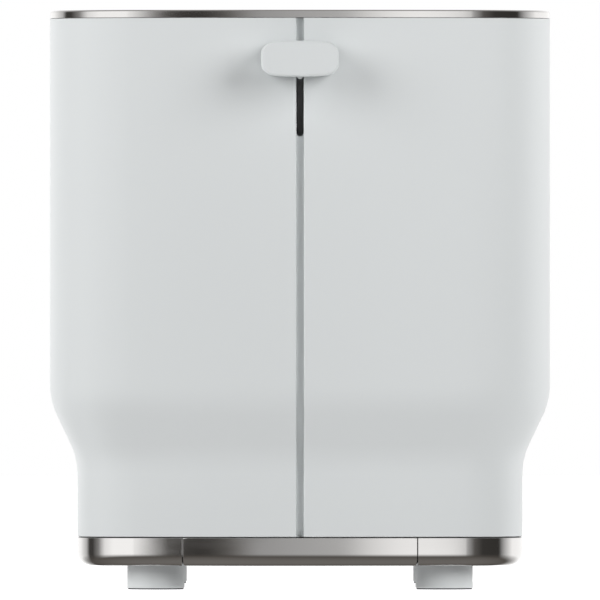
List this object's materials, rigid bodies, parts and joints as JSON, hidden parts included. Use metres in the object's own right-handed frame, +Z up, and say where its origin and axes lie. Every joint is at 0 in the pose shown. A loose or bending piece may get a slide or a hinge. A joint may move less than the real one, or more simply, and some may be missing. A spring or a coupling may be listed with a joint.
{
  "type": "toaster",
  "caption": "Toaster with a waisted housing in halves, polished top and base bands, push-down lever and pull-out crumb tray.",
  "frame": {"origin": "on the worktop, under the middle of the overall box", "axes": "+Z up, -Y towards the lever end, +X to the right when the lever end is faced"},
  "size_m": [0.172, 0.304, 0.199],
  "materials": {
    "housing_white": "satin moulded, warm white",
    "strip_grey": "moulded, light grey",
    "lever_white": "moulded, pale grey",
    "polished_steel": "mirror polished",
    "base_black": "fine moulded grain",
    "foot_grey": "moulded, grey",
    "pad_rubber": "matt",
    "sheet_steel": "rolled sheet",
    "bright_sheet": "bright rolled",
    "wire_chrome": "plated wire",
    "rod_steel": "ground bar",
    "spring_steel": "drawn wire",
    "mica": "pressed flakes",
    "ribbon": "oxidised ribbon",
    "carriage_black": "moulded",
    "core_iron": "laminated, bare",
    "coil_copper": "enamelled wire",
    "board_tan": "paper laminate",
    "board_green": "solder resist",
    "switch_black": "moulded",
    "button_grey": "moulded, pale grey",
    "light_clear": "light pipe, clear amber",
    "lead_brown": "heat-proof sleeving",
    "terminal_white": "nylon",
    "screw_zinc": "zinc plated"
  },
  "bodies": {
    "housing": {"left_shell": "housing_white", "right_shell": "housing_white", "front_strip": "strip_grey", "rear_strip": "strip_grey", "top_cover": "polished_steel", "top_frame": "base_black", "base_band": "polished_steel", "base_plate": "base_black", "foot_pads": "pad_rubber", "base_screws": "screw_zinc", "rod_bracket_top": "sheet_steel", "rod_bracket_bottom": "sheet_steel", "magnet_core": "core_iron", "magnet_coil": "coil_copper", "main_board": "board_tan", "main_switch": "switch_black", "board_screws": "screw_zinc", "control_board": "board_green", "key_switches": "switch_black", "button_carrier": "base_black", "browning_lights": "light_clear", "chamber_plate_front": "sheet_steel", "chamber_plate_rear": "sheet_steel", "reflector_left": "bright_sheet", "reflector_right": "bright_sheet", "heater_ribbons": "ribbon", "heater_links": "rod_steel", "cord_gland": "base_black", "terminal_block": "terminal_white", "mains_leads": "lead_brown", "foot_front_left": "foot_grey", "foot_front_right": "foot_grey", "foot_rear_left": "foot_grey", "foot_rear_right": "foot_grey", "guide_rod_left": "rod_steel", "return_spring_left": "spring_steel", "guide_rod_right": "rod_steel", "return_spring_right": "spring_steel", "heater_outer_left": "mica", "heater_inner_left": "mica", "heater_inner_right": "mica", "heater_outer_right": "mica"},
    "lever": {"lever_knob": "lever_white", "lever_arm": "lever_white", "carriage": "carriage_black", "armature": "core_iron", "bread_rack_left": "wire_chrome", "bread_rack_right": "wire_chrome"},
    "tray": {"crumb_tray": "bright_sheet", "crumb_tray_front": "polished_steel"},
    "cancel_key": {"button_cancel": "button_grey"},
    "reheat_key": {"button_reheat": "button_grey"},
    "defrost_key": {"button_defrost": "button_grey"},
    "less_key": {"button_less": "button_grey"},
    "more_key": {"button_more": "button_grey"},
    "guide_left_outer": {"bread_guide_left_outer": "wire_chrome"},
    "guide_left_inner": {"bread_guide_left_inner": "wire_chrome"},
    "guide_right_inner": {"bread_guide_right_inner": "wire_chrome"},
    "guide_right_outer": {"bread_guide_right_outer": "wire_chrome"}
  },
  "joints": [
    {"name": "lever_slide", "type": "slide", "parent": "housing", "child": "lever", "axis": [0, 0, -1], "range_m": [0, 0.0195], "stiffness_N_per_m": 220, "springref_m": -0.03, "deforming": ["return_spring_left", "return_spring_right"]},
    {"name": "tray_slide", "type": "slide", "parent": "housing", "child": "tray", "axis": [0, -1, 0], "range_m": [0, 0.205]},
    {"name": "cancel_press", "type": "slide", "parent": "housing", "child": "cancel_key", "axis": [1, 0, 0], "range_m": [0, 0.001], "stiffness_N_per_m": 500, "springref_m": -0.002},
    {"name": "reheat_press", "type": "slide", "parent": "housing", "child": "reheat_key", "axis": [1, 0, 0], "range_m": [0, 0.001], "stiffness_N_per_m": 500, "springref_m": -0.002},
    {"name": "defrost_press", "type": "slide", "parent": "housing", "child": "defrost_key", "axis": [1, 0, 0], "range_m": [0, 0.001], "stiffness_N_per_m": 500, "springref_m": -0.002},
    {"name": "less_press", "type": "slide", "parent": "housing", "child": "less_key", "axis": [1, 0, 0], "range_m": [0, 0.001], "stiffness_N_per_m": 500, "springref_m": -0.002},
    {"name": "more_press", "type": "slide", "parent": "housing", "child": "more_key", "axis": [1, 0, 0], "range_m": [0, 0.001], "stiffness_N_per_m": 500, "springref_m": -0.002},
    {"name": "guide_left_outer_swing", "type": "hinge", "parent": "housing", "child": "guide_left_outer", "pos_m": [-0.0475, 0.0065, 0.078], "axis": [0, 1, 0], "range_deg": [0, 2.5]},
    {"name": "guide_left_inner_swing", "type": "hinge", "parent": "housing", "child": "guide_left_inner", "pos_m": [-0.0145, 0.0065, 0.078], "axis": [0, 1, 0], "range_deg": [-2.5, 0]},
    {"name": "guide_right_inner_swing", "type": "hinge", "parent": "housing", "child": "guide_right_inner", "pos_m": [0.0145, 0.0065, 0.078], "axis": [0, 1, 0], "range_deg": [0, 2.5]},
    {"name": "guide_right_outer_swing", "type": "hinge", "parent": "housing", "child": "guide_right_outer", "pos_m": [0.0475, 0.0065, 0.078], "axis": [0, 1, 0], "range_deg": [-2.5, 0]}
  ],
  "couplings": [
    {"joint": "guide_left_outer_swing", "follows": "lever_slide", "rad_per_m": 2.2},
    {"joint": "guide_left_inner_swing", "follows": "lever_slide", "rad_per_m": -2.2},
    {"joint": "guide_right_inner_swing", "follows": "lever_slide", "rad_per_m": 2.2},
    {"joint": "guide_right_outer_swing", "follows": "lever_slide", "rad_per_m": -2.2}
  ]
}
